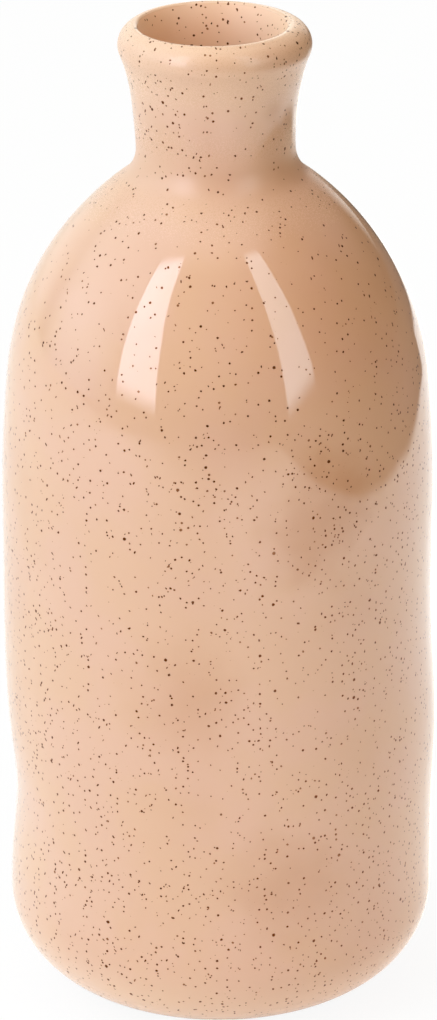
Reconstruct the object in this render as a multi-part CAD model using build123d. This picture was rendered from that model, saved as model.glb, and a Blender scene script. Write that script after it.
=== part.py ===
from build123d import *

import os
from math import asin, atan2, cos, degrees, radians, sin, sqrt

# Bottle vase: one clay pot, its outer glaze, its liner glaze and the glaze under its base.
# All of it is turned about the Z axis. The origin is the centre of the foot, on the table. Millimetres.
# Body sizes are those of the glazed outside, except where a size is named for the clay.

# Body
BODY_DIAMETER = 80.0
FOOT_CORNER_RADIUS = 17.2
STRAIGHT_WALL_HEIGHT = 77.4

# Shoulder: a long slow curve off the wall, then the round of the dome
HAUNCH_RADIUS = 240.0
HAUNCH_TURN_DEGREES = 6.1
DOME_RADIUS = 53.3

# Neck, measured at its narrowest and from there up to the lip's crown
NECK_DIAMETER = 28.8
NECK_HEIGHT = 22.9
NECK_FILLET_RADIUS = 7.0
NECK_RISE_SHARE = 0.35
NECK_SWEEP_SHARE = 0.20

# Lip: a thick outer roll and a tight inner edge of clay
LIP_OVERHANG = 3.0
LIP_ROLL_RADIUS = 3.8
LIP_UNDERCUT_DEGREES = 25.0
LIP_EDGE_RADIUS = 0.35

# Walls
GLAZE_THICKNESS = 0.45
CLAY_WALL = 3.2
BASE_THICKNESS = 3.6
FLOOR_CORNER_RADIUS = 13.0
THROAT_EASE_SHARE = 0.4

# Foot
FOOT_HEIGHT = 1.2
FOOT_RING_WIDTH = 4.0
FOOT_EDGE_RADIUS = 0.4
RECESS_DEPTH = 2.2
GLAZE_LINE_HEIGHT = 2.0
BASE_GLAZE_MARGIN = 1.0

# Heights and radii that follow
BODY_RADIUS = BODY_DIAMETER / 2
NECK_RADIUS = NECK_DIAMETER / 2
LIP_RADIUS = NECK_RADIUS + LIP_OVERHANG
FOOT_RING_RADIUS = BODY_RADIUS - FOOT_CORNER_RADIUS
CORNER_CENTRE = Vector(FOOT_RING_RADIUS, FOOT_HEIGHT + FOOT_CORNER_RADIUS)
WALL_TOP = CORNER_CENTRE.Y + STRAIGHT_WALL_HEIGHT
CLAY_INSIDE_DEPTH = GLAZE_THICKNESS + CLAY_WALL
CLAY_FLOOR = RECESS_DEPTH + BASE_THICKNESS


def direction(angle):
    """Unit vector at an angle in degrees, measured up from the outward radius."""
    return Vector(cos(radians(angle)), sin(radians(angle)))


# Centres of the outline's arcs: every layer of the pot is concentric about these.
HAUNCH_CENTRE = Vector(BODY_RADIUS - HAUNCH_RADIUS, WALL_TOP)
DOME_CENTRE = HAUNCH_CENTRE + direction(HAUNCH_TURN_DEGREES) * (HAUNCH_RADIUS - DOME_RADIUS)
NECK_FILLET_REACH = NECK_RADIUS + NECK_FILLET_RADIUS - DOME_CENTRE.X
NECK_FILLET_RISE = sqrt((DOME_RADIUS + NECK_FILLET_RADIUS) ** 2 - NECK_FILLET_REACH**2)
NECK_FILLET_CENTRE = DOME_CENTRE + Vector(NECK_FILLET_REACH, NECK_FILLET_RISE)
DOME_END_DEGREES = degrees(atan2(NECK_FILLET_RISE, NECK_FILLET_REACH))
NECK_FOOT = NECK_FILLET_CENTRE.Y
TOTAL_HEIGHT = NECK_FOOT + NECK_HEIGHT
LIP_ROLL_CENTRE = Vector(LIP_RADIUS - LIP_ROLL_RADIUS, TOTAL_HEIGHT - LIP_ROLL_RADIUS)
LIP_EDGE_CENTRE = Vector(LIP_ROLL_CENTRE.X, TOTAL_HEIGHT - GLAZE_THICKNESS - LIP_EDGE_RADIUS)
CLAY_THROAT_RADIUS = LIP_EDGE_CENTRE.X - LIP_EDGE_RADIUS


def on_arc(centre, radius, angle):
    return centre + direction(angle) * radius


def arc(centre, radius, start, end):
    """Arc about a centre, between two angles in degrees."""
    middle = (start + end) / 2
    points = [on_arc(centre, radius, angle) for angle in (start, middle, end)]
    return ThreePointArc(*points)


def shoulder(depth):
    """Haunch, dome and neck fillet, going up, at a depth below the glazed outside."""
    turn = HAUNCH_TURN_DEGREES
    return [
        arc(HAUNCH_CENTRE, HAUNCH_RADIUS - depth, 0, turn),
        arc(DOME_CENTRE, DOME_RADIUS - depth, turn, DOME_END_DEGREES),
        arc(NECK_FILLET_CENTRE, NECK_FILLET_RADIUS + depth, DOME_END_DEGREES + 180, 180),
    ]


def neck(depth):
    """Outside of the neck, upright at its foot and running into the lip's undercut."""
    undercut = -LIP_UNDERCUT_DEGREES
    start = Vector(NECK_RADIUS - depth, NECK_FOOT)
    end = on_arc(LIP_ROLL_CENTRE, LIP_ROLL_RADIUS - depth, undercut)
    length = end.Y - start.Y
    rise = Vector(0, length * NECK_RISE_SHARE)
    sweep = direction(undercut + 90) * (length * NECK_SWEEP_SHARE)
    return Bezier(start, start + rise, end - sweep, end)


def outside(depth, corner_start):
    """Outline from the foot corner, at an angle below the level, up the outside and over the lip."""
    wall_radius = BODY_RADIUS - depth
    edge_radius = LIP_EDGE_RADIUS + GLAZE_THICKNESS - depth
    return [
        arc(CORNER_CENTRE, FOOT_CORNER_RADIUS - depth, -corner_start, 0),
        Line((wall_radius, CORNER_CENTRE.Y), (wall_radius, WALL_TOP)),
        *shoulder(depth),
        neck(depth),
        arc(LIP_ROLL_CENTRE, LIP_ROLL_RADIUS - depth, -LIP_UNDERCUT_DEGREES, 90),
        arc(LIP_EDGE_CENTRE, edge_radius, 90, 180),
    ]


def inside(liner):
    """Outline from the middle of the floor up to the lip's inner edge, a liner's thickness in from the clay."""
    depth = CLAY_INSIDE_DEPTH + liner
    wall_radius = BODY_RADIUS - depth
    floor = CLAY_FLOOR + liner
    corner_radius = FLOOR_CORNER_RADIUS - liner
    corner = Vector(wall_radius - corner_radius, floor + corner_radius)
    foot = Vector(NECK_RADIUS - depth, NECK_FOOT)
    top = Vector(CLAY_THROAT_RADIUS - liner, LIP_EDGE_CENTRE.Y)
    ease = Vector(0, (top.Y - foot.Y) * THROAT_EASE_SHARE)
    return [
        Line((0, floor), (corner.X, floor)),
        arc(corner, corner_radius, -90, 0),
        Line((wall_radius, corner.Y), (wall_radius, WALL_TOP)),
        *shoulder(depth),
        Bezier(foot, foot + ease, top - ease, top),
    ]


def turned(*edges):
    """Solid turned about Z from a closed outline drawn with the radius along X and the height along Y."""
    return revolve(Plane.XZ * make_face(edges), Axis.Z)


def foot_ring():
    """Underside of the clay: the recess, then the foot ring with eased edges, out to the foot corner."""
    inner = FOOT_RING_RADIUS - FOOT_RING_WIDTH
    corner_foot = FOOT_HEIGHT + GLAZE_THICKNESS
    ease = FOOT_EDGE_RADIUS
    return [
        Line((0, RECESS_DEPTH), (inner, RECESS_DEPTH)),
        Line((inner, RECESS_DEPTH), (inner, ease)),
        arc(Vector(inner + ease, ease), ease, 180, 270),
        Line((inner + ease, 0), (FOOT_RING_RADIUS - ease, 0)),
        arc(Vector(FOOT_RING_RADIUS - ease, ease), ease, -90, 0),
        Line((FOOT_RING_RADIUS, ease), (FOOT_RING_RADIUS, corner_foot)),
    ]


def clay_body():
    axis = Line((0, RECESS_DEPTH), (0, CLAY_FLOOR))
    return turned(*foot_ring(), *outside(GLAZE_THICKNESS, 90), *inside(0), axis)


def outer_glaze():
    corner_start = degrees(asin((CORNER_CENTRE.Y - GLAZE_LINE_HEIGHT) / FOOT_CORNER_RADIUS))
    skin = outside(0, corner_start)
    clay = outside(GLAZE_THICKNESS, corner_start)
    glaze_line = Line(skin[0] @ 0, clay[0] @ 0)
    meeting = Line(skin[-1] @ 1, clay[-1] @ 1)
    return turned(*skin, *clay, glaze_line, meeting)


def inner_glaze():
    clay = inside(0)
    skin = inside(GLAZE_THICKNESS)
    axis = Line(clay[0] @ 0, skin[0] @ 0)
    meeting = Line(clay[-1] @ 1, skin[-1] @ 1)
    return turned(*clay, *skin, axis, meeting)


def base_glaze():
    radius = FOOT_RING_RADIUS - FOOT_RING_WIDTH - BASE_GLAZE_MARGIN
    low = RECESS_DEPTH - GLAZE_THICKNESS
    corner = Vector(radius - GLAZE_THICKNESS, RECESS_DEPTH)
    return turned(
        Line((0, low), (corner.X, low)),
        arc(corner, GLAZE_THICKNESS, -90, 0),
        Line((radius, RECESS_DEPTH), (0, RECESS_DEPTH)),
        Line((0, RECESS_DEPTH), (0, low)),
    )


os.makedirs("parts", exist_ok=True)
for piece in (clay_body, outer_glaze, inner_glaze, base_glaze):
    export_step(piece(), os.path.join("parts", piece.__name__ + ".step"))

print(f"height {TOTAL_HEIGHT:.2f}, lip {2 * LIP_RADIUS:.2f} across, mouth {2 * CLAY_THROAT_RADIUS:.2f} in the clay")
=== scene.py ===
# %% [markdown]
# # A speckled bottle vase
# The vase is one pot of fired clay under a glossy peach glaze, with iron specks in it. The CAD model is
# loaded first and stays as it is. Every piece made below stands on the same axis and takes its width and
# height from that model. All lengths are in metres, and `MM` turns millimetres into them.

import math

import bpy
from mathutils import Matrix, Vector


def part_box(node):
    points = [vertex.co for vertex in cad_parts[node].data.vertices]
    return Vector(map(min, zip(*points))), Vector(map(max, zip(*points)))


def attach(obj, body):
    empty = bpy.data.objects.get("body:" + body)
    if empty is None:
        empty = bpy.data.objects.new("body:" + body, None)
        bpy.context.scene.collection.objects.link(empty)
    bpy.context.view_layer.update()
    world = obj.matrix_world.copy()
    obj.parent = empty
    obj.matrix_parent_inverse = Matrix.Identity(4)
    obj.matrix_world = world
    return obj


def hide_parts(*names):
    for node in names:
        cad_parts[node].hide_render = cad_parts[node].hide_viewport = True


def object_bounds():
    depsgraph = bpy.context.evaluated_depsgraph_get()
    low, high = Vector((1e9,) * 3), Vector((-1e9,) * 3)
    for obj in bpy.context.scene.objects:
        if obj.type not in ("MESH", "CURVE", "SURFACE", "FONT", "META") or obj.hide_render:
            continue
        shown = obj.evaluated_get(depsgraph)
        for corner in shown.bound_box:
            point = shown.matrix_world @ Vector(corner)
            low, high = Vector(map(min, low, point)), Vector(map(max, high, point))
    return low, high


MM = 0.001
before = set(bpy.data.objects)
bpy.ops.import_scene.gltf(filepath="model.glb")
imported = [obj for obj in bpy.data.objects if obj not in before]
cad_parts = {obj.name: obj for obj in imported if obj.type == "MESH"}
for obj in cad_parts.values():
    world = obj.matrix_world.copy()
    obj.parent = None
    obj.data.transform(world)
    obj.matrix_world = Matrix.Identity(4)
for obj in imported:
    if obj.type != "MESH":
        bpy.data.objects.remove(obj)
cad_low, cad_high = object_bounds()
print("CAD box", [round(v, 4) for v in cad_low], [round(v, 4) for v in cad_high])

# %% [markdown]
# ## Camera
# The photograph looks down on the vase a little, from far enough away that its sides stay almost upright.
# A long lens gives that. The camera is aimed at the middle of the axis, and leans by a third of a degree,
# as the photograph does.

# %% Camera
CAMERA_REACH = 900 * MM
CAMERA_RISE = math.radians(22.37)
CAMERA_LEAN = math.radians(-0.33)
CAMERA_LENS = 171.4
AIM_DROP = 0.18 * MM

aim = Vector((0, 0, cad_high.z / 2 - AIM_DROP))
to_camera = Vector((0, -math.cos(CAMERA_RISE), math.sin(CAMERA_RISE)))
looks_down = (math.pi / 2 - CAMERA_RISE, 0, 0)
bpy.ops.object.camera_add(location=aim + to_camera * CAMERA_REACH, rotation=looks_down)
camera = bpy.context.object
camera.data.lens = CAMERA_LENS
camera.rotation_euler.rotate_axis("Z", CAMERA_LEAN)
bpy.context.scene.camera = camera
bpy.context.scene.view_settings.view_transform = "Standard"
print("camera at", [round(v, 3) for v in camera.location])

# %% [markdown]
# ## The outline
# A turned pot is known by half of its section. Its outline is a chain of arcs that run into each other: the
# round foot corner, the straight wall, a slow haunch, the dome, the hollow at the neck, and the rolled lip.
# It could be drawn as one long curve by eye, but arcs with real radii can be set to another depth, and then
# every layer of the pot, clay or glaze, is the same chain a little further in, with no gap between them.

# %% Sizes of the outline
body_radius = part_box("outer_glaze")[1].x
lip_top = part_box("outer_glaze")[1].z
foot_corner = 17.2 * MM
wall_height = 77.4 * MM
haunch_radius = 240 * MM
haunch_turn = 6.1
dome_radius = 53.3 * MM
neck_radius = 14.4 * MM
neck_height = 22.9 * MM
neck_fillet = 7 * MM
lip_radius = 17.4 * MM
lip_roll = 3.8 * MM
lip_undercut = 25
lip_edge = 0.8 * MM
throat_lean = 32
glaze = 0.45 * MM
clay_wall = 3.2 * MM
foot_height = 1.2 * MM


def way(angle):
    """Unit vector in the half section, at an angle in degrees up from the level."""
    return Vector((math.cos(math.radians(angle)), 0, math.sin(math.radians(angle))))


def at(radius, height):
    """A point of the half section."""
    return Vector((radius, 0, height))


corner_centre = at(body_radius - foot_corner, foot_height + foot_corner)
wall_top = corner_centre.z + wall_height
haunch_centre = at(body_radius - haunch_radius, wall_top)
dome_centre = haunch_centre + way(haunch_turn) * (haunch_radius - dome_radius)
neck_foot = lip_top - neck_height
fillet_centre = at(neck_radius + neck_fillet, neck_foot)
dome_end = math.degrees(math.atan2(neck_foot - dome_centre.z, fillet_centre.x - dome_centre.x))
roll_centre = at(lip_radius - lip_roll, lip_top - lip_roll)
edge_centre = at(roll_centre.x, lip_top - lip_edge)
print("the dome ends at", round(dome_end, 1), "degrees, the neck starts at", round(neck_foot / MM, 1), "mm")

# %% Runs of points
FINE = 1.1 * MM
COARSE = 3.0 * MM
COARSE_TURN = 12
FEWEST_SWEEP_STEPS = 6


def straight(a, b, step):
    """Points along a line, a step apart or less."""
    count = max(1, math.ceil((b - a).length / step))
    return [a.lerp(b, i / count) for i in range(count + 1)]


def arc(centre, radius, start, end, step):
    """Points along an arc, a step apart or less. The finer the step, the less it turns at each point."""
    turn = abs(end - start)
    most_turn = COARSE_TURN * step / COARSE
    count = math.ceil(max(turn / most_turn, radius * math.radians(turn) / step))
    return [centre + way(start + (end - start) * i / count) * radius for i in range(count + 1)]


def sweep(a, b, c, d, step):
    """Points along a Bezier curve from a to d, with b and c as its handles."""
    count = max(FEWEST_SWEEP_STEPS, math.ceil((d - a).length / step))
    points = []
    for i in range(count + 1):
        t = i / count
        s = 1 - t
        points.append(a * s**3 + b * (3 * s * s * t) + c * (3 * s * t * t) + d * t**3)
    return points


# %% Points of the outside
NECK_RISE_SHARE = 0.35
NECK_SWEEP_SHARE = 0.20


def shoulder(depth, step):
    """Haunch, dome and the hollow at the neck, going up."""
    return (
        arc(haunch_centre, haunch_radius - depth, 0, haunch_turn, step)
        + arc(dome_centre, dome_radius - depth, haunch_turn, dome_end, step)
        + arc(fillet_centre, neck_fillet + depth, dome_end + 180, 180, step)
    )


def outside(depth, corner_start, step):
    """The outside from an angle below the level on the foot corner, up the pot and over the lip."""
    wall = body_radius - depth
    low = at(neck_radius - depth, neck_foot)
    high = roll_centre + way(-lip_undercut) * (lip_roll - depth)
    length = high.z - low.z
    rise = at(0, NECK_RISE_SHARE * length)
    lean = way(90 - lip_undercut) * (NECK_SWEEP_SHARE * length)
    return (
        arc(corner_centre, foot_corner - depth, -corner_start, 0, step)
        + straight(at(wall, corner_centre.z), at(wall, wall_top), step)
        + shoulder(depth, step)
        + sweep(low, low + rise, high - lean, high, step / 2)
        + arc(roll_centre, lip_roll - depth, -lip_undercut, 90, step / 2)
        + arc(edge_centre, lip_edge - depth, 90, 180 - throat_lean, step / 2)
    )


print(len(outside(0, 90, FINE)), "points up the outside")

# %% Points of the inside
base_thickness = 3.6 * MM
recess = 2.2 * MM
floor_corner = 13 * MM
THROAT_EASE_SHARE = 0.40
THROAT_FLARE_SHARE = 0.22


def inside(liner, step):
    """The inside from the middle of the floor up to the lip's edge, a liner's thickness in from the clay."""
    depth = glaze + clay_wall + liner
    wall = body_radius - depth
    level = recess + base_thickness + liner
    radius = floor_corner - liner
    corner = at(wall - radius, level + radius)
    low = at(neck_radius - depth, neck_foot)
    high = edge_centre + way(180 - throat_lean) * (lip_edge - glaze + liner)
    length = high.z - low.z
    ease = at(0, THROAT_EASE_SHARE * length)
    flare = way(90 - throat_lean) * (THROAT_FLARE_SHARE * length)
    return (
        straight(at(0, level), at(corner.x, level), step)
        + arc(corner, radius, -90, 0, step)
        + straight(at(wall, corner.z), at(wall, wall_top), step)
        + shoulder(depth, step)
        + sweep(low, low + ease, high - flare, high, step)
    )


print(len(inside(glaze, FINE)), "points up the inside")

# %% [markdown]
# ## Spinning a section into a piece
# A lathe piece is drawn as a chain of edges, point by point, and spun about the axis. Before the spin each
# vertex keeps its place along the chain as an attribute, which the spin copies all the way round. So the
# finished piece can carry a flat map of itself: once round the pot across, and along the section upwards.
# What shows gets nine tenths of that map, and the side that is fused to its neighbour gets the rest.

# %% Places along a section
MERGE = 0.002 * MM
SHOWN_SHARE = 0.9


def chain_of(shown, hidden):
    """One chain without repeated points, and how far up the map each of its points lies."""
    chain = []
    for p in shown + hidden:
        if not chain or (p - chain[-1]).length > 2 * MERGE:
            chain.append(p)
    lengths = [0]
    for here, there in zip(chain, chain[1:]):
        lengths.append(lengths[-1] + (there - here).length)
    turn = lengths[min(range(len(chain)), key=lambda i: (chain[i] - shown[-1]).length)]
    rest = max(lengths[-1] - turn, MERGE)
    places = []
    for length in lengths:
        if length <= turn:
            places.append(SHOWN_SHARE * length / turn)
        else:
            places.append(SHOWN_SHARE + (1 - SHOWN_SHARE) * (length - turn) / rest)
    return chain, places


# %% Draw and spin
SPIN_STEPS = 160


def spun(name, shown, hidden):
    """A piece spun about the axis from a section whose ends meet, or lie on the axis."""
    chain, places = chain_of(shown, hidden)
    bpy.ops.object.select_all(action="DESELECT")
    bpy.ops.mesh.primitive_plane_add(size=glaze)
    piece = bpy.context.object
    piece.name = piece.data.name = name
    bpy.ops.object.mode_set(mode="EDIT")
    bpy.ops.mesh.select_all(action="SELECT")
    bpy.ops.mesh.merge(type="CENTER")
    bpy.ops.transform.translate(value=chain[0])
    for here, there in zip(chain, chain[1:]):
        bpy.ops.mesh.extrude_vertices_move(TRANSFORM_OT_translate={"value": there - here})
    bpy.ops.object.mode_set(mode="OBJECT")
    piece.data.attributes.new("along", "FLOAT", "POINT").data.foreach_set("value", places)
    bpy.ops.object.mode_set(mode="EDIT")
    bpy.ops.mesh.select_all(action="SELECT")
    bpy.ops.mesh.spin(steps=SPIN_STEPS, angle=math.tau, center=(0, 0, 0), axis=(0, 0, 1))
    bpy.ops.mesh.select_all(action="SELECT")
    bpy.ops.mesh.remove_doubles(threshold=MERGE)
    bpy.ops.mesh.normals_make_consistent(inside=False)
    bpy.ops.object.mode_set(mode="OBJECT")
    print(name, len(piece.data.vertices), "vertices,", len(piece.data.polygons), "faces")
    return piece


# %% [markdown]
# ## The glaze outside
# The coat runs from the glaze line, just above the foot, up and over the lip. It is half a millimetre thick,
# with a rolled lower edge where the melt stopped. A Solidify modifier could thicken a skin, but the section
# can simply be drawn all round: the bead, up the skin, over the lip, and back down against the clay.

# %% Glaze coat
glaze_line = 2.0 * MM
line_angle = math.degrees(math.asin((corner_centre.z - glaze_line) / foot_corner))
bead_centre = corner_centre + way(-line_angle) * (foot_corner - glaze / 2)
bead = arc(bead_centre, glaze / 2, -line_angle - 180, -line_angle, FINE)
skin = bead + outside(0, line_angle, FINE)
against_clay = outside(glaze, line_angle, COARSE)[::-1]
glaze_coat = spun("glaze_coat", skin, against_clay)

# %% [markdown]
# ## The glaze inside
# The liner is poured in, rolled round and poured out again, so it covers the floor and the wall up to the
# edge of the lip, where it runs into the glaze outside. The throat opens out just below that edge. The
# section of the liner starts and ends on the axis.

# %% Glaze liner
glaze_liner = spun("glaze_liner", inside(glaze, FINE), inside(0, COARSE)[::-1])

# %% [markdown]
# ## The clay
# The clay is one solid: under the base a shallow recess and a foot ring with eased edges, then the wall, up
# and over the lip and back down inside. It could be a copy of the CAD solid, but spun like the glazes it
# gets an even mesh that can give way with them. Only the foot and the recess show, so these get most of
# the map.

# %% Clay body
ring_width = 4.0 * MM
ring_ease = 0.4 * MM
ring_outer = corner_centre.x
ring_inner = ring_outer - ring_width
foot = (
    straight(at(0, recess), at(ring_inner, recess), FINE)
    + straight(at(ring_inner, recess), at(ring_inner, ring_ease), FINE)
    + arc(at(ring_inner + ring_ease, ring_ease), ring_ease, 180, 270, FINE)
    + arc(at(ring_outer - ring_ease, ring_ease), ring_ease, -90, 0, FINE)
    + straight(at(ring_outer, ring_ease), at(ring_outer, foot_height + glaze), FINE)
    + arc(corner_centre, foot_corner - glaze, -90, -line_angle, FINE)
)
under_glaze = outside(glaze, line_angle, COARSE) + inside(0, COARSE)[::-1]
clay_body = spun("clay_pot", foot, under_glaze)

# %% [markdown]
# ## The glaze under the base
# A pool of glaze lies in the recess, held by its own surface: rolled at its edge, a little thinner in the
# middle. A flat disc would be quicker, but it would catch the light like a coin. One sweep from the middle
# gives the dip.

# %% Glaze pool
pool_margin = 1.0 * MM
pool_dip = 0.12 * MM
pool_radius = ring_inner - pool_margin
pool_rim = at(pool_radius - glaze, recess)
DIP_SHARE = 0.5
LEVEL_SHARE = 0.8
pool = sweep(
    at(0, recess - glaze + pool_dip),
    at(DIP_SHARE * pool_rim.x, recess - glaze + pool_dip),
    at(LEVEL_SHARE * pool_rim.x, recess - glaze),
    at(pool_rim.x, recess - glaze),
    FINE,
) + arc(pool_rim, glaze, -90, 0, FINE)
glaze_pool = spun("glaze_pool", pool, straight(at(pool_radius, recess), at(0, recess), COARSE))

# %% [markdown]
# ## Where the glaze stopped
# Melted glaze never stops on a true circle: the line above the foot and the rim of the pool both waver.
# Three waves of different length round the pot, added up, look uneven enough. The coat slides along the
# round of the foot corner, so it stays on the clay, and the pool is drawn in and out on the level.

# %% Let the glaze waver
LINE_WAVER = 1.5
POOL_WAVER = 0.35 * MM
WAVER_START = 50
# waves round the pot, strength, phase
waves = [(3, 0.45, 0.4), (7, 0.35, 2.0), (13, 0.20, 1.1)]


def waver(turn):
    """From about -1 to 1, uneven round the pot."""
    return sum(strength * math.sin(count * turn + phase) for count, strength, phase in waves)


def fade(value, start, end):
    """0 before start, 1 after end, and smooth between them."""
    t = min(max((value - start) / (end - start), 0), 1)
    return t * t * (3 - 2 * t)


for vertex in glaze_coat.data.vertices:
    turn = math.atan2(vertex.co.y, vertex.co.x)
    spoke = at(math.hypot(vertex.co.x, vertex.co.y), vertex.co.z) - corner_centre
    below = -math.degrees(math.atan2(spoke.z, spoke.x))
    if WAVER_START < below < 90:
        below += LINE_WAVER * waver(turn) * fade(below, WAVER_START, line_angle)
        moved = corner_centre + way(-below) * spoke.length
        vertex.co = (moved.x * math.cos(turn), moved.x * math.sin(turn), moved.z)
for vertex in glaze_pool.data.vertices:
    outwards = Vector((vertex.co.x, vertex.co.y, 0))
    turn = math.atan2(vertex.co.y, vertex.co.x)
    reach = POOL_WAVER * waver(turn) * fade(outwards.length, 0, pool_radius)
    vertex.co += outwards.normalized() * reach
print("the glaze wavers in", len(waves), "waves")

# %% [markdown]
# ## Slack in the fired form
# A pot that has been through the kiln is never quite round. In the photograph the left wall draws in above
# the foot and the right wall swells a little higher up, the dome leans a little to the left, and the mouth
# is a little wide and sits off the middle of the lip. All four layers have to give way together, so they
# share one lattice, a cage of points round the pot. Each press below moves the cage in or out about one
# place and fades away from it. Negative is inwards. Turn is in degrees: 0 is the right of the photograph,
# 180 its left and 270 its front.

# %% Press the cage
CAGE_POINTS = (9, 9, 33)
CAGE_MARGIN = 4 * MM
neck_lean = Vector((-0.18 * MM, 0, 0))
# turn, height, reach round, reach up, push
presses = [
    (180, 39 * MM, 26 * MM, 10.5 * MM, -1.70 * MM),
    (180, 72 * MM, 30 * MM, 14 * MM, 0.25 * MM),
    (180, 141 * MM, 30 * MM, 12 * MM, 0.45 * MM),
    (0, 53 * MM, 30 * MM, 12 * MM, 0.85 * MM),
    (0, 82 * MM, 30 * MM, 16 * MM, -0.35 * MM),
    (0, 148 * MM, 30 * MM, 16 * MM, -0.35 * MM),
]
bpy.ops.object.select_all(action="DESELECT")
bpy.ops.object.add(type="LATTICE", location=(cad_low + cad_high) / 2)
cage = bpy.context.object
cage.data.points_u, cage.data.points_v, cage.data.points_w = CAGE_POINTS
cage_size = cad_high - cad_low + Vector((2, 2, 2)) * CAGE_MARGIN
cage.scale = cage_size
for point in cage.data.points:
    place = cage.location + point.co * cage_size
    push = 0
    for turn, height, around, up, depth in presses:
        gap = math.remainder(math.atan2(place.y, place.x) - math.radians(turn), math.tau) * body_radius
        push += depth * math.exp(-((gap / around) ** 2) - ((place.z - height) / up) ** 2)
    shift = Vector((place.x, place.y, 0)) / body_radius * push
    if place.z > neck_foot:
        shift += neck_lean
    point.co_deform = point.co + Vector((shift.x / cage_size.x, shift.y / cage_size.y, 0))
print("a cage of", len(cage.data.points), "points, pressed in", len(presses), "places")

# %% Let the pieces give way
MOUTH_SHIFT = Vector((-0.40 * MM, -0.25 * MM, 0))
MOUTH_SPREAD = 0.45 * MM
SMOOTH_ANGLE = math.radians(40)

pieces = [glaze_coat, glaze_liner, clay_body, glaze_pool]
for piece in pieces:
    for vertex in piece.data.vertices:
        outwards = Vector((vertex.co.x, vertex.co.y, 0))
        high = fade(vertex.co.z, neck_foot, lip_top - lip_roll)
        inner = fade(outwards.length, roll_centre.x + lip_roll / 2, roll_centre.x)
        shift = MOUTH_SHIFT + outwards.normalized() * MOUTH_SPREAD
        vertex.co += shift * (high * inner)
    bpy.ops.object.select_all(action="DESELECT")
    piece.select_set(True)
    bpy.context.view_layer.objects.active = piece
    piece.modifiers.new("slack", "LATTICE").object = cage
    bpy.ops.object.modifier_apply(modifier="slack")
    bpy.ops.object.shade_smooth_by_angle(angle=SMOOTH_ANGLE)
bpy.data.objects.remove(cage)
print(len(pieces), "pieces gave way")

# %% [markdown]
# ## Maps of the surfaces
# Each piece carries its flat map under the name OFBake, so a colour picture made from its material later is
# drawn as sharply as it can be. A face that crosses the end of the map takes its far corners one whole map
# further on.

# %% Lay the maps
HALF_MAP = 0.5


def lay_map(piece):
    """Round the pot across the map, with its front a quarter of the way along, and the section upwards."""
    mesh = piece.data
    up = [0.0] * len(mesh.vertices)
    mesh.attributes["along"].data.foreach_get("value", up)
    layer = mesh.uv_layers.new(name="OFBake")
    for face in mesh.polygons:
        middle = math.atan2(face.center.y, face.center.x)
        level = max(up[v] for v in face.vertices)
        for corner in face.loop_indices:
            vertex = mesh.loops[corner].vertex_index
            x, y, _ = mesh.vertices[vertex].co
            off_axis = math.hypot(x, y) > MERGE
            turn = middle + math.remainder(math.atan2(y, x) - middle, math.tau) if off_axis else middle
            rise = up[vertex] if level - up[vertex] < HALF_MAP else 1.0
            layer.data[corner].uv = (turn / math.tau + HALF_MAP, rise)
    mesh.attributes.remove(mesh.attributes["along"])


for piece in pieces:
    lay_map(piece)
    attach(piece, "root")
print("maps laid on", len(pieces), "pieces")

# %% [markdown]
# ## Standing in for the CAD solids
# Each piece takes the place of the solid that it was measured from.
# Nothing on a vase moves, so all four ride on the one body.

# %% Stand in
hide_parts("outer_glaze")
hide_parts("inner_glaze")
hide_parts("clay_body")
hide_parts("base_glaze")
print([piece.name for piece in pieces], "stand in for the solids")

# %% [markdown]
# ## Helpers for the finishes
# A finish is a small network of nodes. These helpers keep each step of one to a line: a node with its
# inputs, a sum, a blend of two colours, a soft step between two values, and the distance to a place.

# %% Node helpers
def feed(tree, made, feeds):
    """Gives each named input of a node a plain value, or the socket that it is linked to."""
    for name, value in feeds.items():
        if isinstance(value, bpy.types.NodeSocket):
            tree.links.new(value, made.inputs[name])
        else:
            made.inputs[name].default_value = value


def node(tree, kind, feeds, **settings):
    made = tree.nodes.new(kind)
    for name, value in settings.items():
        setattr(made, name, value)
    feed(tree, made, feeds)
    return made


def calc(tree, operation, *values):
    return node(tree, "ShaderNodeMath", dict(enumerate(values)), operation=operation).outputs[0]


def vector_calc(tree, operation, *values):
    return node(tree, "ShaderNodeVectorMath", dict(enumerate(values)), operation=operation).outputs[0]


def blend(tree, share, first, second, kind="MIX"):
    feeds = {0: share, 6: first, 7: second}
    return node(tree, "ShaderNodeMix", feeds, data_type="RGBA", blend_type=kind).outputs[2]


def soft_step(tree, value, start, end, low=0.0, high=1.0):
    feeds = {"Value": value, "From Min": start, "From Max": end, "To Min": low, "To Max": high}
    return node(tree, "ShaderNodeMapRange", feeds, interpolation_type="SMOOTHSTEP").outputs[0]


# %% Helpers for places
# Noise runs from 0 to 1, but nearly all of it lies between the first two values. The second two cut harder.
NOISE_SPAN = (0.3, 0.7)
NOISE_CORE = (0.35, 0.65)
NOISE_MIDDLE = (0.5, 0.5, 0.5)


def place_of(tree):
    return node(tree, "ShaderNodeTexCoord", {}).outputs["Object"]


def parts_of(tree, place):
    return node(tree, "ShaderNodeSeparateXYZ", {0: place}).outputs


def distance(tree, place, centre):
    feeds = {0: place, 1: centre}
    return node(tree, "ShaderNodeVectorMath", feeds, operation="DISTANCE").outputs["Value"]


def noise(tree, size, detail=2.0, output="Fac"):
    """Cloudy noise whose blotches are about as large as size."""
    feeds = {"Vector": place_of(tree), "Scale": 1 / size, "Detail": detail, "Roughness": 0.5}
    return node(tree, "ShaderNodeTexNoise", feeds).outputs[output]


def stirred_place(tree, size, reach, detail):
    """Places that are pushed about by up to half the reach, in swirls of the given size."""
    swirl = vector_calc(tree, "SUBTRACT", noise(tree, size, detail, "Color"), NOISE_MIDDLE)
    return vector_calc(tree, "MULTIPLY_ADD", swirl, (reach, reach, reach), place_of(tree))


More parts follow.
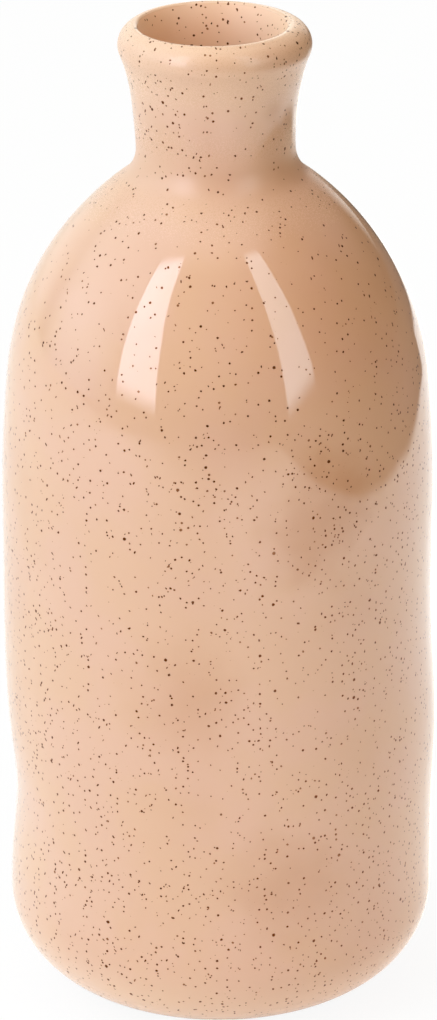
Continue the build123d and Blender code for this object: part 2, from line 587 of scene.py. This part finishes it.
# %% Helpers for groups
def new_group(name, takes, gives):
    """An empty node group. takes gives each input's kind and value, gives each output's kind."""
    group = bpy.data.node_groups.new(name, "ShaderNodeTree")
    for label, (kind, value) in takes.items():
        socket = group.interface.new_socket(label, in_out="INPUT", socket_type="NodeSocket" + kind)
        socket.default_value = value
    for label, kind in gives.items():
        group.interface.new_socket(label, in_out="OUTPUT", socket_type="NodeSocket" + kind)
    entry = group.nodes.new("NodeGroupInput").outputs
    result = group.nodes.new("NodeGroupOutput").inputs
    return group, entry, result


def use_group(tree, group, feeds):
    made = tree.nodes.new("ShaderNodeGroup")
    made.node_tree = group
    feed(tree, made, feeds)
    return made.outputs


# %% [markdown]
# ## Iron specks
# The specks are grains of iron that melt into the glaze: dots of a third to three quarters of a millimetre,
# a few larger, and some short dashes. They could be hundreds of tiny meshes, but they lie flush in the
# glass, so they belong in the colour. One layer scatters points through space, keeps a share of them, and
# draws a ball round each. The glaze cuts through the balls, which gives dots of mixed size. Stretching space
# first turns the balls into dashes.

# %% One layer of specks
SIZE_SPREAD = 0.5
SMALLEST_SHARE = 0.75
CORE_SHARE = 0.75
RIM_SHARE = 1.1
FAINTEST = 0.6
speck_layer, entry, result = new_group(
    "speck layer",
    {
        "Place": ("Vector", (0, 0, 0)),
        "Cell": ("Float", 1 * MM),
        "Share": ("Float", 0.5),
        "Radius": ("Float", 0.2),
        "Stretch": ("Vector", (1, 1, 1)),
        "Turn": ("Vector", (0, 0, 0)),
        "Crowd": ("Float", 1.0),
    },
    {"Speck": "Float"},
)
tree = speck_layer
scaled = {0: entry["Stretch"], "Scale": entry["Cell"]}
grid = node(tree, "ShaderNodeVectorMath", scaled, operation="SCALE").outputs[0]
turned = {"Vector": entry["Place"], "Rotation": entry["Turn"], "Scale": grid}
place = node(tree, "ShaderNodeMapping", turned, vector_type="TEXTURE").outputs[0]
cells = node(tree, "ShaderNodeTexVoronoi", {"Vector": place, "Scale": 1.0}, feature="F1")
draw = node(tree, "ShaderNodeSeparateColor", {"Color": cells.outputs["Color"]}).outputs
kept = calc(tree, "LESS_THAN", draw[0], calc(tree, "MULTIPLY", entry["Share"], entry["Crowd"]))
size = calc(tree, "MULTIPLY_ADD", draw[1], SIZE_SPREAD, SMALLEST_SHARE)
radius = calc(tree, "MULTIPLY", entry["Radius"], size)
core = calc(tree, "MULTIPLY", radius, CORE_SHARE)
rim = calc(tree, "MULTIPLY", radius, RIM_SHARE)
ball = soft_step(tree, cells.outputs["Distance"], core, rim, 1.0, 0.0)
strength = soft_step(tree, draw[2], 0.0, FAINTEST, FAINTEST, 1.0)
tree.links.new(calc(tree, "MULTIPLY", calc(tree, "MULTIPLY", ball, kept), strength), result["Speck"])
print("speck layer:", len(tree.nodes), "nodes")

# %% [markdown]
# Real specks are ragged, they drift and clump, and the shoulder has fewer of them than the wall. So the
# layers read places that are stirred a little, and each keeps more or fewer of its points from place to
# place.

# %% All the specks
RAGGED_SIZE = 0.4 * MM
RAGGED_REACH = 0.2 * MM
DRIFT_SIZE = 22 * MM
DRIFT_CROWD = (0.7, 1.3)
CLUMP_SIZE = 4 * MM
CLUMP_CROWD = (0.6, 1.4)
SHOULDER_LEVEL = 143 * MM
SHOULDER_CORE = 16 * MM
SHOULDER_REACH = 30 * MM
SHOULDER_CROWD = 0.6
DASH = {"Cell": 1.3 * MM, "Share": 0.55, "Radius": 0.11, "Stretch": (1, 1, 2.4)}
layers = [
    {"Cell": 1.0 * MM, "Share": 0.48, "Radius": 0.205},
    {"Cell": 2.4 * MM, "Share": 0.24, "Radius": 0.12},
    {**DASH, "Turn": (0.5, 0.3, 0.0)},
    {**DASH, "Turn": (-0.7, 0.5, 0.9)},
]
iron_specks, entry, result = new_group("iron specks", {"Amount": ("Float", 1.0)}, {"Speck": "Float"})
tree = iron_specks
ragged = stirred_place(tree, RAGGED_SIZE, RAGGED_REACH, detail=1.0)
drift = soft_step(tree, noise(tree, DRIFT_SIZE), *NOISE_SPAN, *DRIFT_CROWD)
clump = soft_step(tree, noise(tree, CLUMP_SIZE), *NOISE_CORE, *CLUMP_CROWD)
level = parts_of(tree, place_of(tree))[2]
off_shoulder = calc(tree, "ABSOLUTE", calc(tree, "SUBTRACT", level, SHOULDER_LEVEL))
sparse = soft_step(tree, off_shoulder, SHOULDER_CORE, SHOULDER_REACH, SHOULDER_CROWD, 1.0)
crowd = calc(tree, "MULTIPLY", calc(tree, "MULTIPLY", drift, clump), entry["Amount"])
crowd = calc(tree, "MULTIPLY", crowd, sparse)
total = 0.0
for layer in layers:
    speck = use_group(tree, speck_layer, {**layer, "Place": ragged, "Crowd": crowd})["Speck"]
    total = calc(tree, "MAXIMUM", total, speck)
tree.links.new(total, result["Speck"])
print("iron specks:", len(layers), "layers")

# %% [markdown]
# ## The colour of the glaze
# The glaze is peach, but not one peach: it drifts between two close tones and turns tan in random patches.
# It also turns tan in soft clouds, which are painted shade: they darken the front wall where the glaze
# mirrors the white table less, and the right shoulder, which lies in shade. Noise alone would put the clouds
# anywhere, so those on the front have the places that they have in the photograph, and are stirred to lose
# their round shape. It pales at the foot and over the lip, where it has run thin, and these pale bands also
# carry painted light: bounce light from the table at the foot and a painted highlight on the lip. The pale
# band under the lip is painted light that lifts the shade there.

# %% Drifting tone and tan clouds of painted shade
PEACH = (0.73, 0.45, 0.285, 1)
BLUSH = (0.735, 0.45, 0.305, 1)
TAN = (0.60, 0.32, 0.17, 1)
DRIFTING_SIZE = 16 * MM
PATCH_SIZE = 26 * MM
PATCH_FROM = (0.5, 0.75)
PATCH_SHARE = 0.2
STIR_SIZE = 10 * MM
STIR_REACH = 12 * MM
# painted shade: tan clouds on the front wall, where the glaze mirrors the white table less, and on the shaded
# right shoulder
# middle, reach, strength
painted_shade_clouds = [
    ((-6 * MM, -39.5 * MM, 73 * MM), 16 * MM, 0.55),
    ((13 * MM, -38 * MM, 33 * MM), 16 * MM, 0.65),
    ((17 * MM, -36 * MM, 103 * MM), 13.5 * MM, 0.80),
    ((20 * MM, -34.6 * MM, 108 * MM), 13 * MM, 0.90),
    ((22 * MM, -24 * MM, 141 * MM), 24 * MM, 0.35),
]
tones = {"Peach": ("Color", PEACH), "Blush": ("Color", BLUSH), "Tan": ("Color", TAN)}
glaze_tone, entry, result = new_group("glaze tone", tones, {"Color": "Color"})
tree = glaze_tone
drifting = soft_step(tree, noise(tree, DRIFTING_SIZE), *NOISE_CORE)
colour = blend(tree, drifting, entry["Peach"], entry["Blush"])
stirred = stirred_place(tree, STIR_SIZE, STIR_REACH, detail=2.0)
for middle, reach, strength in painted_shade_clouds:
    painted_shade_mask = soft_step(tree, distance(tree, stirred, middle), 0.0, reach, strength, 0.0)
    colour = blend(tree, painted_shade_mask, colour, entry["Tan"])
patches = soft_step(tree, noise(tree, PATCH_SIZE), *PATCH_FROM, 0.0, PATCH_SHARE)
colour = blend(tree, patches, colour, entry["Tan"])
print("glaze tone:", len(painted_shade_clouds), "painted_shade_clouds")

# %% Painted reflections on the neck, and pale bands with painted light
PALE = (0.87, 0.61, 0.41, 1)
# painted reflection: a tan patch on the right of the neck, where the glaze mirrors a dark part of the room
NECK_DARK_REFLECTION = (10.5 * MM, -11.5 * MM, 174.5 * MM)
DARK_REFLECTION_REACH = 3.5 * MM
DARK_REFLECTION_SHARE = 0.8
# painted reflection: a pale strip down the right edge of the neck, where the glaze mirrors the white
# background
NECK_WHITE_REFLECTION = (14.4 * MM, -3 * MM, 168 * MM)
WHITE_REFLECTION_REACH = 9 * MM
WHITE_REFLECTION_SHARE = 0.9
# pale bands: thin glaze with painted bounce light at the foot, painted light lifting the shade under the lip,
# thin glaze with a painted highlight over the lip
# height, reach, strength
thin_glaze_and_painted_light_bands = [(2 * MM, 18 * MM, 0.80), (179 * MM, 8 * MM, 0.35), (lip_top, 7 * MM, 0.45)]
# the tan patch of painted reflection on the neck
off_dark_reflection = distance(tree, place_of(tree), NECK_DARK_REFLECTION)
painted_dark_reflection = soft_step(tree, off_dark_reflection, 0.0, DARK_REFLECTION_REACH, DARK_REFLECTION_SHARE, 0.0)
colour = blend(tree, painted_dark_reflection, colour, entry["Tan"])
# the pale strip of painted reflection on the neck
off_white_reflection = distance(tree, place_of(tree), NECK_WHITE_REFLECTION)
painted_white_reflection = soft_step(tree, off_white_reflection, 0.0, WHITE_REFLECTION_REACH, WHITE_REFLECTION_SHARE, 0.0)
colour = blend(tree, painted_white_reflection, colour, PALE)
level = parts_of(tree, place_of(tree))[2]
# each band pales the glaze: partly thin glaze, partly painted light
for height, reach, strength in thin_glaze_and_painted_light_bands:
    off_band = calc(tree, "ABSOLUTE", calc(tree, "SUBTRACT", level, height))
    colour = blend(tree, soft_step(tree, off_band, 0.0, reach, strength, 0.0), colour, PALE)
tree.links.new(colour, result["Color"])
print("glaze tone:", len(thin_glaze_and_painted_light_bands), "pale bands,", len(tree.nodes), "nodes")

# %% [markdown]
# ## The skin of the glaze
# The glass is not flat: it lies in long shallow waves, which bend what it mirrors, and it sinks a little at
# each speck. On the wall and dome it is as clear as a mirror. In the hollow of the neck, over the lip and
# inside, it has fine crystals in it and is satin. A roughness that slides from one to the other would leave
# a ring at some height, so every crystal is either satin or clear, and the share of satin ones grows.

# %% Heights of the skin
WAVE_SIZE = 11 * MM
WAVE_DEPTH = 0.04 * MM
PEEL_SIZE = 1.6 * MM
PEEL_DEPTH = 0.001 * MM
SPECK_DEPTH = 0.005 * MM
glaze_skin, entry, result = new_group(
    "glaze skin",
    {"Speck": ("Float", 0.0), "Satin": ("Float", 0.0)},
    {"Height": "Float", "Roughness": "Float"},
)
tree = glaze_skin
wave = calc(tree, "MULTIPLY", noise(tree, WAVE_SIZE, detail=1.0), WAVE_DEPTH)
peel = calc(tree, "MULTIPLY", noise(tree, PEEL_SIZE, detail=1.0), PEEL_DEPTH)
height = calc(tree, "ADD", wave, peel)
tree.links.new(calc(tree, "MULTIPLY_ADD", entry["Speck"], -SPECK_DEPTH, height), result["Height"])
print("the skin rises and falls by", round(WAVE_DEPTH / MM, 3), "mm at most")

# %% Satin and clear crystals
CRYSTAL = 0.1 * MM
GLOSS_SIZE = 12 * MM
GLOSS = (0.035, 0.055)
SATIN_ROUGHNESS = 0.34
LINER_ROUGHNESS = 0.20
LIP_SHARE = 0.8
HOLLOW_FROM = (neck_foot - 12 * MM, neck_foot - 4 * MM)
HOLLOW_TO = (neck_foot, neck_foot + 8 * MM)
LIP_FROM = (lip_top - 13 * MM, lip_top - 5 * MM)
MOUTH_EDGE = roll_centre.x + MOUTH_SPREAD
EDGE_REACH = 0.6 * MM
level = parts_of(tree, place_of(tree))[2]
above_dome = soft_step(tree, level, *HOLLOW_FROM)
below_neck = soft_step(tree, level, *HOLLOW_TO, 1.0, 0.0)
hollow = calc(tree, "MULTIPLY", above_dome, below_neck)
mouth_place = vector_calc(tree, "SUBTRACT", place_of(tree), MOUTH_SHIFT)
off_mouth = distance(tree, vector_calc(tree, "MULTIPLY", mouth_place, (1, 1, 0)), (0, 0, 0))
past_edge = soft_step(tree, off_mouth, MOUTH_EDGE, MOUTH_EDGE + EDGE_REACH)
lip = calc(tree, "MULTIPLY", soft_step(tree, level, *LIP_FROM, 0.0, LIP_SHARE), past_edge)
share = calc(tree, "MAXIMUM", calc(tree, "MAXIMUM", hollow, lip), entry["Satin"])
share = calc(tree, "MAXIMUM", share, entry["Speck"])
fine = {"Vector": place_of(tree), "Scale": 1 / CRYSTAL}
crystals = node(tree, "ShaderNodeTexVoronoi", fine, feature="F1").outputs["Color"]
chance = node(tree, "ShaderNodeSeparateColor", {"Color": crystals}).outputs[0]
is_satin = calc(tree, "LESS_THAN", chance, share)
gloss = soft_step(tree, noise(tree, GLOSS_SIZE), *NOISE_SPAN, *GLOSS)
satin = calc(tree, "MULTIPLY_ADD", entry["Satin"], LINER_ROUGHNESS, SATIN_ROUGHNESS)
tree.links.new(calc(tree, "MULTIPLY_ADD", is_satin, satin, gloss), result["Roughness"])
print("glaze skin:", len(tree.nodes), "nodes")

# %% [markdown]
# ## The three glazes
# The coat, the liner and the pool are the same glaze at different thickness, so one function makes all
# three, each with its own tones. The liner's tones are paler than the coat's, as painted light that lifts the
# shade inside the mouth. A speck is a core of iron in a ring of stain. The core is mostly metal: glass over
# it would mirror the room in white, and the specks would turn grey in the lit places.

# %% Glaze finishes
IRON = (0.11, 0.028, 0.004, 1)
STAIN = (0.36, 0.13, 0.030, 1)
STAIN_TO = 0.5
IRON_FROM = 0.35
IRON_TO = 0.9
IRON_METAL = 0.92
GLAZE_IOR = 1.6


def glaze_finish(name, peach, blush, tan, satin):
    material = bpy.data.materials.new(name)
    material.use_nodes = True
    tree = material.node_tree
    shader = tree.nodes["Principled BSDF"]
    colour = use_group(tree, glaze_tone, {"Peach": peach, "Blush": blush, "Tan": tan})["Color"]
    speck = use_group(tree, iron_specks, {"Amount": 1.0})["Speck"]
    surface = use_group(tree, glaze_skin, {"Speck": speck, "Satin": satin})
    bump = node(tree, "ShaderNodeBump", {"Height": surface["Height"], "Strength": 1.0, "Distance": 1.0})
    stained = blend(tree, soft_step(tree, speck, 0.0, STAIN_TO), colour, STAIN)
    iron = soft_step(tree, speck, IRON_FROM, IRON_TO)
    tree.links.new(blend(tree, iron, stained, IRON), shader.inputs["Base Color"])
    tree.links.new(calc(tree, "MULTIPLY", iron, IRON_METAL), shader.inputs["Metallic"])
    tree.links.new(surface["Roughness"], shader.inputs["Roughness"])
    tree.links.new(bump.outputs[0], shader.inputs["Normal"])
    shader.inputs["IOR"].default_value = GLAZE_IOR
    return material


# peach, blush and tan of each glaze
coat_tones = (PEACH, BLUSH, TAN)
# the liner's tones are paler than the coat's: painted light that lifts the shade inside the mouth
liner_tones_with_painted_light = ((0.77, 0.48, 0.30, 1), (0.77, 0.48, 0.315, 1), (0.67, 0.38, 0.21, 1))
pool_tones = ((0.71, 0.42, 0.26, 1), (0.72, 0.42, 0.28, 1), (0.58, 0.31, 0.16, 1))
# piece, name, tones, satin
glazes = [
    (glaze_coat, "peach glaze", *coat_tones, 0.0),
    (glaze_liner, "liner glaze", *liner_tones_with_painted_light, 1.0),
    (glaze_pool, "pool glaze", *pool_tones, 0.0),
]
for piece, *finish in glazes:
    piece.data.materials.append(glaze_finish(*finish))
print("glazed", [piece.name for piece, *finish in glazes])

# %% [markdown]
# ## The fired clay
# The foot ring and the strip above it are bare: a sandy buff clay, dry to the touch, with the same iron
# showing as dark grains. Fine noise gives the grain its colour and its bite, and a broad one the clouds from
# the kiln.

# %% Fired clay
GRAIN_SIZE = 0.35 * MM
GRAIN_DEPTH = 0.06 * MM
KILN_SIZE = 9 * MM
BUFF = (0.62, 0.44, 0.30, 1)
SAND = (0.70, 0.54, 0.40, 1)
GRIT = (0.52, 0.36, 0.24, 1)
CLAY_IRON = (0.10, 0.045, 0.02, 1)
CLAY_SPECKS = 1.6
GRIT_FROM = (0.35, 0.7)
CLAY_ROUGHNESS = (0.75, 0.92)
clay = bpy.data.materials.new("fired clay")
clay.use_nodes = True
tree = clay.node_tree
shader = tree.nodes["Principled BSDF"]
grain = noise(tree, GRAIN_SIZE, detail=4.0)
colour = blend(tree, noise(tree, KILN_SIZE), BUFF, SAND)
colour = blend(tree, soft_step(tree, grain, *GRIT_FROM), colour, GRIT)
speck = use_group(tree, iron_specks, {"Amount": CLAY_SPECKS})["Speck"]
tree.links.new(blend(tree, speck, colour, CLAY_IRON), shader.inputs["Base Color"])
tree.links.new(soft_step(tree, grain, *NOISE_SPAN, *CLAY_ROUGHNESS), shader.inputs["Roughness"])
bite = calc(tree, "MULTIPLY", grain, GRAIN_DEPTH)
bump = node(tree, "ShaderNodeBump", {"Height": bite, "Strength": 1.0, "Distance": 1.0})
tree.links.new(bump.outputs[0], shader.inputs["Normal"])
clay_body.data.materials.append(clay)
print("fired clay:", len(tree.nodes), "nodes")

# %% [markdown]
# ## The table
# The vase stands on a white table, and the glaze mirrors it: the wall shows the table, the dome shows the
# darker room past its edges. So the floor is one large plane with the table drawn on it. To the camera it is
# white all over, with the shadow of the vase on it. To the glaze it is bright as far as the table reaches,
# and more so on the right.

# %% Where the table ends
FLOOR_SIZE = 12
TABLE_RIGHT = 0.36
RIGHT_BLUR = 0.02
TABLE_CORNER = 0.10
TABLE_SLANT = 0.35
TABLE_FRONT = -0.60
FRONT_BLUR = 0.25
TABLE_BACK = 0.58
BACK_BLUR = 0.05
BACK_STARTS = 0.06
BACK_SLOPE = 1.4
SLOPE_BLUR = 0.03
bpy.ops.object.select_all(action="DESELECT")
bpy.ops.mesh.primitive_plane_add(size=FLOOR_SIZE)
floor = bpy.context.object
floor.name = "floor"
paper = bpy.data.materials.new("white table")
paper.use_nodes = True
tree = paper.node_tree
tree.nodes.remove(tree.nodes["Principled BSDF"])


def past(value, edge, blur):
    """0 before an edge of the table and 1 past it, blurred by so much to either side."""
    return soft_step(paper.node_tree, value, edge - blur, edge + blur)


across, away, _ = parts_of(tree, place_of(tree))
past_corner = calc(tree, "MAXIMUM", calc(tree, "SUBTRACT", away, TABLE_CORNER), 0.0)
slanted = calc(tree, "MULTIPLY_ADD", past_corner, TABLE_SLANT, across)
beside = calc(tree, "SUBTRACT", 1.0, past(slanted, TABLE_RIGHT, RIGHT_BLUR))
behind = past(calc(tree, "MULTIPLY_ADD", across, -BACK_SLOPE, away), 0.0, SLOPE_BLUR)
past_back = past(away, TABLE_BACK, BACK_BLUR)
far_right = calc(tree, "MULTIPLY", past(across, BACK_STARTS, BACK_STARTS), past_back)
past_front = past(away, TABLE_FRONT, FRONT_BLUR)
on_table = calc(tree, "MULTIPLY", calc(tree, "MAXIMUM", beside, behind), past_front)
on_table = calc(tree, "MULTIPLY", on_table, calc(tree, "SUBTRACT", 1.0, far_right))
print("the table ends", TABLE_RIGHT, "m to the right")

# %% White table
TABLE_WHITE = (0.92, 0.92, 0.92, 1)
ROOM_FLOOR = (0.12, 0.12, 0.12, 1)
WHITE = (1, 1, 1, 1)
CAMERA_WHITE = 0.92
LEFT_GLOW = 0.20
RIGHT_GLOW = 0.77
GLOW_BLUR = 0.06
path = node(tree, "ShaderNodeLightPath", {}).outputs
tone = blend(tree, calc(tree, "MAXIMUM", path["Is Camera Ray"], on_table), ROOM_FLOOR, TABLE_WHITE)
matt = node(tree, "ShaderNodeBsdfDiffuse", {"Color": tone}).outputs[0]
bright = soft_step(tree, across, -GLOW_BLUR, GLOW_BLUR, LEFT_GLOW, RIGHT_GLOW)
mirrored = calc(tree, "MULTIPLY", path["Is Glossy Ray"], calc(tree, "MULTIPLY", on_table, bright))
glow = node(tree, "ShaderNodeEmission", {"Color": WHITE, "Strength": mirrored}).outputs[0]
lit = node(tree, "ShaderNodeAddShader", {0: matt, 1: glow}).outputs[0]
white = node(tree, "ShaderNodeEmission", {"Color": WHITE, "Strength": 1.0}).outputs[0]
shown = calc(tree, "MULTIPLY", path["Is Camera Ray"], CAMERA_WHITE)
mixed = node(tree, "ShaderNodeMixShader", {0: shown, 1: lit, 2: white}).outputs[0]
tree.links.new(mixed, tree.nodes["Material Output"].inputs["Surface"])
floor.data.materials.append(paper)
print("white table:", len(tree.nodes), "nodes")

# %% [markdown]
# ## Soft boxes
# The two bright streaks on the dome are the mirror images of two tall soft boxes in front of the vase, a
# cool one on the left and a warm one on the right. Area lamps make them. Their feet and tops are cut at a
# slant and fade out, as the streaks do. The right streak is whiter than the light that falls on the vase
# from that side, so a second lamp stands close behind the right box and shows in the glaze alone.

# %% Soft boxes
BOX_REACH = 0.90
BOX_GAP = 0.02
BOX_FOOT = 0.07
FOOT_FADE = 0.09
TOP_FADE = 0.20


def side_of(turn, rise):
    """Direction from the pot, in degrees: turn 0 is towards the camera, 90 to the right of the photograph."""
    turn = math.radians(turn)
    rise = math.radians(rise)
    return Vector((math.sin(turn) * math.cos(rise), -math.cos(turn) * math.cos(rise), math.sin(rise)))


def soft_box(name, reach, turn, lean, width, height, colour, foot_cut, top_cut):
    """An upright soft light that faces the pot. The cuts shorten its foot and its top, at either side."""
    towards = side_of(turn, 0)
    middle = towards * reach + Vector((0, 0, BOX_FOOT + height / 2))
    bpy.ops.object.light_add(type="AREA", location=middle)
    lamp = bpy.context.object
    lamp.name = name
    lamp.rotation_euler = towards.to_track_quat("Z", "Y").to_euler()
    lamp.rotation_euler.rotate_axis("Z", math.radians(lean))
    lamp.data.shape = "RECTANGLE"
    lamp.data.size = width
    lamp.data.size_y = height
    lamp.data.energy = math.pi * width * height
    lamp.visible_camera = False
    lamp.data.use_nodes = True
    tree = lamp.data.node_tree
    shine = tree.nodes["Emission"]
    shine.inputs["Color"].default_value = (*colour, 1)
    across, up, _ = parts_of(tree, node(tree, "ShaderNodeNewGeometry", {}).outputs["Parametric"])
    foot_slant = (foot_cut[1] - foot_cut[0]) / height
    top_slant = (top_cut[0] - top_cut[1]) / height
    low = calc(tree, "MULTIPLY_ADD", across, foot_slant, foot_cut[0] / height)
    high = calc(tree, "MULTIPLY_ADD", across, top_slant, 1 - top_cut[0] / height)
    foot = soft_step(tree, up, low, calc(tree, "ADD", low, FOOT_FADE))
    top = soft_step(tree, up, calc(tree, "SUBTRACT", high, TOP_FADE), high, 1.0, 0.0)
    tree.links.new(calc(tree, "MULTIPLY", foot, top), shine.inputs["Strength"])
    print(name, "at", [round(v, 2) for v in lamp.location])
    return lamp


LEFT_COOL = (4.9, 5.0, 5.8)
RIGHT_WARM = (2.75, 2.60, 2.20)
SHINE_BLUE = (0.30, 1.10, 1.80)
# turn, lean, width, height
left_box = (-47.8, 4.2, 0.36, 1.85)
right_box = (44.9, 1.2, 0.29, 1.95)
# foot and top, each at the box's own left and right
left_cuts = ((0.09, 0.02), (0.35, -0.02))
right_cuts = ((0.0, 0.15), (-0.08, 0.04))
soft_box("left soft box", BOX_REACH, *left_box, LEFT_COOL, *left_cuts)
soft_box("right soft box", BOX_REACH, *right_box, RIGHT_WARM, *right_cuts)
right_shine = soft_box("right shine", BOX_REACH + BOX_GAP, *right_box, SHINE_BLUE, *right_cuts)
right_shine.visible_diffuse = False

# %% [markdown]
# ## Light of the room
# The rest of the light comes from all round: bright from behind and from above, cool from the left, and weak
# from the front. An evenly white world would make the glaze milky. Soft round patches of light, each with
# its own direction and width, give the dome its shading and leave the dark parts dark. The camera itself
# sees white.

# %% Room
# turn, rise, how narrow, colour
patches_of_light = [
    (175, 5, 0.88, (1.50, 1.50, 1.42, 1)),
    (215, 5, 0.88, (1.12, 1.17, 1.15, 1)),
    (270, 5, 0.80, (0.56, 0.70, 0.86, 1)),
    (0, 40, 0.70, (0.32, 0.22, 0.07, 1)),
    (50, 45, 0.70, (0.21, 0.02, 0.00, 1)),
    (270, 40, 0.70, (0.99, 1.28, 1.46, 1)),
    (185, 30, 0.85, (0.29, 0.33, 0.31, 1)),
    (220, 45, 0.80, (0.60, 0.73, 0.71, 1)),
    (140, 45, 0.80, (0.50, 0.42, 0.40, 1)),
    (0, 90, 0.80, (1.56, 1.58, 1.35, 1)),
]
world = bpy.data.worlds.new("studio")
bpy.context.scene.world = world
world.use_nodes = True
tree = world.node_tree
looks = node(tree, "ShaderNodeTexCoord", {}).outputs["Generated"]
room = (0, 0, 0, 1)
for turn, rise, narrow, colour in patches_of_light:
    feeds = {0: looks, 1: side_of(turn, rise)}
    facing = node(tree, "ShaderNodeVectorMath", feeds, operation="DOT_PRODUCT").outputs["Value"]
    room = blend(tree, soft_step(tree, facing, narrow, 1.0), room, colour, "ADD")
sees = node(tree, "ShaderNodeLightPath", {}).outputs["Is Camera Ray"]
tree.links.new(blend(tree, sees, room, WHITE), tree.nodes["Background"].inputs["Color"])
print("the room has", len(patches_of_light), "patches of light")
